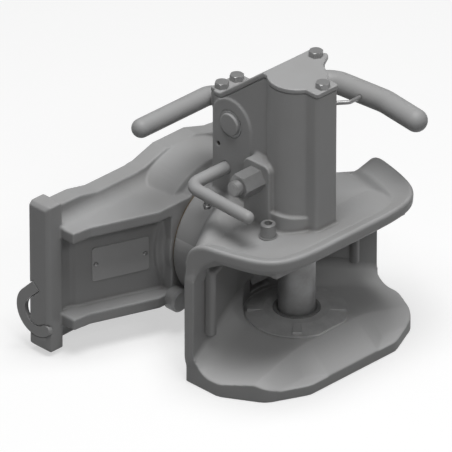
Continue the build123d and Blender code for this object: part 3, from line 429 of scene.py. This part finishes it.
half = rounded_line([Vector(corner) for corner in lip_corners])
outline = [Vector((x, -y)) for x, y in half] + [point.copy() for point in reversed(half[:-1])]
inward = []
for index, point in enumerate(outline):
    along = outline[min(index + 1, len(outline) - 1)] - outline[max(index - 1, 0)]
    inward.append(Vector((-along.y, along.x)).normalized())
inward[0] = Vector((0, 1))
inward[-1] = Vector((0, -1))
print("lip outline points", len(outline))


# %% Closed mesh from sections
def loft(name, sections, joined=False):
    """A mesh through sections of equally many points, capped at its ends or joined to a ring."""
    mesh = bpy.data.meshes.new(name)
    work = bmesh.new()
    loops = [[work.verts.new(point * MM) for point in section] for section in sections]
    later = loops[1:] + loops[:1] if joined else loops[1:]
    for loop, following in zip(loops, later):
        for index, corner in enumerate(loop):
            side = (index + 1) % len(loop)
            work.faces.new((corner, loop[side], following[side], following[index]))
    if not joined:
        work.faces.new(reversed(loops[0]))
        work.faces.new(loops[-1])
    bmesh.ops.recalc_face_normals(work, faces=work.faces)
    work.to_mesh(mesh)
    work.free()
    return mesh


# %% [markdown]
# ## The lip's section
# From outside to inside the section has a round bead, an upright face, an undercut below it, the flare
# and a soft step down to the plate. The bead and the step are short lists of shares of their own size,
# so one number changes each. Towards the rear the section sinks on a quarter circle and its undercut
# fades out, and there the band becomes the jaw's side wing.

# %% Section of the lip
bead = 3.6
bead_arc = [(1, 0), (0.5, 0.13), (0.13, 0.5), (0, 1)]
flare_width = 20
flare_rise = 7.5
face_height = 13
chamfer_width = 14
chamfer_drop = 11
ceiling = 44
face_lean = 0.6
undercut_run = 20
wing_front = -14
wing_overlap = 20
wing_sink = 6
wing_sink_fade = 2.5
plate_top = 58
plate_edge = 1
lowest_step = 8
step_width = 11
step_curve = [(1, 0), (0.76, 0.08), (0.6, 0.3), (0.4, 0.7), (0.24, 0.92)]


def lip_section(point, inside):
    """Points of the lip's section at a point of the outline, from the bead round to the bead."""
    behind = min(point.x - lip_rear_x, 0)
    top = lip_top - lip_rear_radius + sqrt(max(lip_rear_radius**2 - behind**2, 0))
    undercut = min(max((point.x - wing_front) / undercut_run, 0), 1)
    inner = max(top - flare_rise, plate_top - lowest_step)
    plate = min(plate_top, inner)
    step = inner - plate
    if undercut:
        bottom = ceiling - wing_sink * max(1 - undercut * wing_sink_fade, 0) ** 2
    else:
        bottom = ceiling - wing_overlap
    face_low = bottom + (top - face_height - bottom) * undercut
    chamfer_low = bottom + (max(top - face_height - chamfer_drop, bottom) - bottom) * undercut
    corners = [(bead * depth, top - bead * drop) for depth, drop in bead_arc]
    corners += [
        (face_lean, face_low + 1),
        (face_lean + chamfer_width * undercut, chamfer_low),
        (flare_width + step_width, ceiling if undercut else bottom),
        (flare_width + step_width, plate - plate_edge),
    ]
    corners += [(flare_width + step_width * depth, plate + step * rise) for depth, rise in step_curve]
    corners.append((flare_width, inner))
    return [Vector((*(point + inside * depth), height)) for depth, height in corners]


lip = loft("lip_band", [lip_section(*station) for station in zip(outline, inward)])
print("lip band faces", len(lip.polygons))

# %% Plate that bends up in front of the pin
bend_x = 9.5
bend_rise = 10.5
wedge_low = 50
wedge_front = 60
wedge_half = 92
wedge_rear_lean = 6
wedge_front_lean = 2
wedge_outline = [
    (bend_x - wedge_rear_lean, wedge_low),
    (bend_x, plate_top),
    (wedge_front, plate_top + bend_rise),
    (wedge_front + wedge_front_lean, wedge_low),
]
wedge_sides = [[Vector((x, y, z)) for x, z in wedge_outline] for y in (-wedge_half, wedge_half)]
wedge = loft("lip_plate", wedge_sides)
print("bent plate rises", bend_rise, "mm")


# %% [markdown]
# ## The plain lip comes off
# A boolean takes the CAD's plain lip away. Its cutter follows the same outline as the band and reaches
# outward from just inside the band's own root, so that no sliver of the old lip is left between them.
# Three meshes that pass through each other are then one mesh with walls inside, and the voxel remesh
# keeps only its outer surface. That is quicker and steadier than two more booleans.

# %% Cutter that takes the plain lip off
cutter_inset = flare_width + step_width - 1
cutter_reach = 25
cutter_behind = 1.3
cutter_low = ceiling - 0.4
cutter_high = 95


def ring_cutter(inset, low, high):
    """A mesh that fills everything outside the lip's outline less the inset."""
    sections = []
    rear = outline[0].x
    for point, inside in zip(outline, inward):
        near = point + inside * inset
        far = point - inside * cutter_reach
        if point.x == rear:
            near.x = far.x = rear - cutter_behind
        elif point.x < wing_front:
            continue
        corners = [(near, low), (near, high), (far, high), (far, low)]
        sections.append([Vector((*spot, height)) for spot, height in corners])
    return loft("lip_cutter", sections)


cutter = bpy.data.objects.new("lip_cutter", ring_cutter(cutter_inset, cutter_low, cutter_high))
bpy.context.collection.objects.link(cutter)
print("cutter faces", len(cutter.data.polygons))


# %% The jaw's own skin
def with_flared_lip(piece):
    """Cuts the plain lip off the jaw and adds the band and the bent plate."""
    cut = piece.modifiers.new("cut", "BOOLEAN")
    cut.operation = "DIFFERENCE"
    cut.solver = "EXACT"
    cut.object = cutter
    settle(piece)
    work = bmesh.new()
    work.from_mesh(piece.data)
    work.from_mesh(lip)
    work.from_mesh(wedge)
    work.to_mesh(piece.data)
    work.free()


skin("jaw_casting", "jaw", cast_voxel, 3, with_flared_lip)
bpy.data.objects.remove(cutter)

# %% [markdown]
# ## The other rounded pieces
# The carriage is as coarse a casting as the jaw. The levers are forged and the cover and the guards
# are pressed or bent, so their corners are tighter: a smaller voxel and fewer passes do that.

# %% Skins of the carriage, levers and plates
skin("carriage_casting", "carriage", cast_voxel, 3)
skin("opening_lever_forging", "opening_lever", forged_voxel, 3)
skin("rear_lever_forging", "rear_lever", forged_voxel, 3)
skin("closing_lever_forging", "closing_lever", fine_voxel, 3)
skin("top_cover_pressing", "top_cover", fine_voxel, 2)
skin("left_wing_guard", "wing_guard_left", fine_voxel, 2)
skin("right_wing_guard", "wing_guard_right", fine_voxel, 2)

# %% [markdown]
# ## The long nut
# A nut's corners are turned off at its end by a cone, which leaves an arc on every flat. Here each
# spoke round the axis takes the lesser of the hexagon's radius and the cone's, so that the arcs come
# by themselves. A boolean with a cone would do it too, but leaves long thin triangles on the flats. One
# flat faces up, as on the real nut. Its length, place and bore are measured on the CAD node.

# %% Chamfered nut
nut_node = frame["nodes"]["cross_nut"]
nut_flat = 12
nut_corner = nut_flat / cos(radians(30))
nut_chamfer = 1.4
nut_face = nut_flat - 0.3
nut_spokes = 96
chamfer_steps = 4
nut_points = [nut_node.matrix_world @ vertex.co / MM for vertex in nut_node.data.vertices]
nut_x = (min(point.x for point in nut_points) + max(point.x for point in nut_points)) / 2
nut_z = (min(point.z for point in nut_points) + max(point.z for point in nut_points)) / 2
nut_outer_y = min(point.y for point in nut_points)
nut_inner_y = max(point.y for point in nut_points)
nut_bore = min(sqrt((point.x - nut_x) ** 2 + (point.z - nut_z) ** 2) for point in nut_points)


def nut_profile(angle):
    """The radii and places along the axis that one spoke of the nut has, from the bore round."""
    flat = nut_flat / cos(radians(angle % 60 - 30))
    cone = []
    for step in range(chamfer_steps + 1):
        share = step / chamfer_steps
        turned = nut_face + (nut_corner - nut_face) * share
        cone.append((min(flat, turned), nut_outer_y + nut_chamfer * share))
    return [(nut_bore, nut_outer_y)] + cone + [(flat, nut_inner_y), (nut_bore, nut_inner_y)]


def nut_spoke(angle):
    """The points of one spoke, at that angle round the nut's axis."""
    side, rise = cos(radians(angle)), sin(radians(angle))
    return [Vector((nut_x + radius * side, y, nut_z + radius * rise)) for radius, y in nut_profile(angle)]


print("long nut", round(nut_inner_y - nut_outer_y, 1), "mm long, bore radius", round(nut_bore, 2))

# %% The long nut
nut_angles = [360 * index / nut_spokes for index in range(nut_spokes)]
nut_mesh = loft("long_nut", [nut_spoke(angle) for angle in nut_angles], joined=True)
nut_mesh.shade_smooth()
nut_mesh.set_sharp_from_angle(angle=radians(15))
long_nut = bpy.data.objects.new("long_nut", nut_mesh)
bpy.context.collection.objects.link(long_nut)
nut_mesh.materials.append(finishes[slot_of["cross_nut"]])
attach(long_nut, body_of["cross_nut"])
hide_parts("cross_nut")
print("long nut faces", len(nut_mesh.polygons))

# %% [markdown]
# ## The floor
# The picture has a white ground. A floor that is really white would light the part from below and
# wash out its undersides, so the floor is pale and glows for the camera and for reflections only, and
# is dark for bounced light. It still takes the part's shadow.


# %% Floor
def floor_disc(radius, height):
    """A round floor at that height."""
    mesh = bpy.data.meshes.new("floor")
    work = bmesh.new()
    bmesh.ops.create_circle(work, cap_ends=True, segments=96, radius=radius)
    bmesh.ops.translate(work, verts=work.verts, vec=(0, 0, height))
    work.to_mesh(mesh)
    work.free()
    floor = bpy.data.objects.new("floor", mesh)
    bpy.context.collection.objects.link(floor)
    return floor


ground = Finish("pale_floor")
seen = ground.node("LightPath", out="Is Camera Ray")
mirrored = ground.node("LightPath", out="Is Glossy Ray")
floor_level = 0.5
floor_glow = 0.56
bounce_level = 0.16
shown = ground.node("Math", {"operation": "MAXIMUM"}, {0: seen, 1: mirrored})
ground.surface(
    Base_Color=ground.mix(shown, grey(bounce_level), grey(floor_level)),
    Emission_Color=ground.mix(shown, grey(0), grey(floor_glow)),
    Emission_Strength=1,
    Roughness=0.9,
    Specular_IOR_Level=0.0,
)
floor_radius = 4
floor = floor_disc(floor_radius, cad_box[0][2])
floor.data.materials.append(ground.material)
print("floor at", round(cad_box[0][2] / MM, 1), "mm")

# %% [markdown]
# ## The sky
# The world is a weak even light on the part, which fills the upright faces. The camera, and glass if
# there were any, sees it as plain white, so that the ground has no dark horizon behind it.

# %% Sky
sky_level = 0.1
world = bpy.data.worlds.new("studio")
world.use_nodes = True
bpy.context.scene.world = world
nodes = world.node_tree.nodes
links = world.node_tree.links
paths = nodes.new("ShaderNodeLightPath")
either = nodes.new("ShaderNodeMath")
either.operation = "MAXIMUM"
links.new(paths.outputs["Is Camera Ray"], either.inputs[0])
links.new(paths.outputs["Is Transmission Ray"], either.inputs[1])
level = nodes.new("ShaderNodeMapRange")
level.inputs["To Min"].default_value = sky_level
links.new(either.outputs[0], level.inputs["Value"])
links.new(level.outputs[0], nodes["Background"].inputs["Strength"])
nodes["Background"].inputs["Color"].default_value = (1, 1, 1, 1)
print("sky level", sky_level)

# %% [markdown]
# ## The lamps
# The picture's light comes from above: top faces show the paint's own level, and upright faces a
# quarter of it. One wide lamp overhead gives that with soft shadows. A small lamp in front reaches into
# the mouth, which would else be black. Both are weak enough for a colour to render as it is written.

# %% Lamps
lamp_target = Vector((-50, 0, 50)) * MM


def lamp(name, place, size, power):
    """A square area lamp that looks at the jaw."""
    data = bpy.data.lights.new(name, "AREA")
    data.size = size
    data.energy = power
    made = bpy.data.objects.new(name, data)
    made.location = place
    made.rotation_euler = (Vector(place) - lamp_target).to_track_quat("Z", "Y").to_euler()
    bpy.context.collection.objects.link(made)


lamp("overhead", (0.1, -0.1, 2.6), 1.5, 56)
lamp("mouth", (1.1, -0.6, 1.1), 0.3, 2.7)
bpy.context.scene.view_settings.view_transform = "Standard"
print("lamps", [light.name for light in bpy.data.lights])
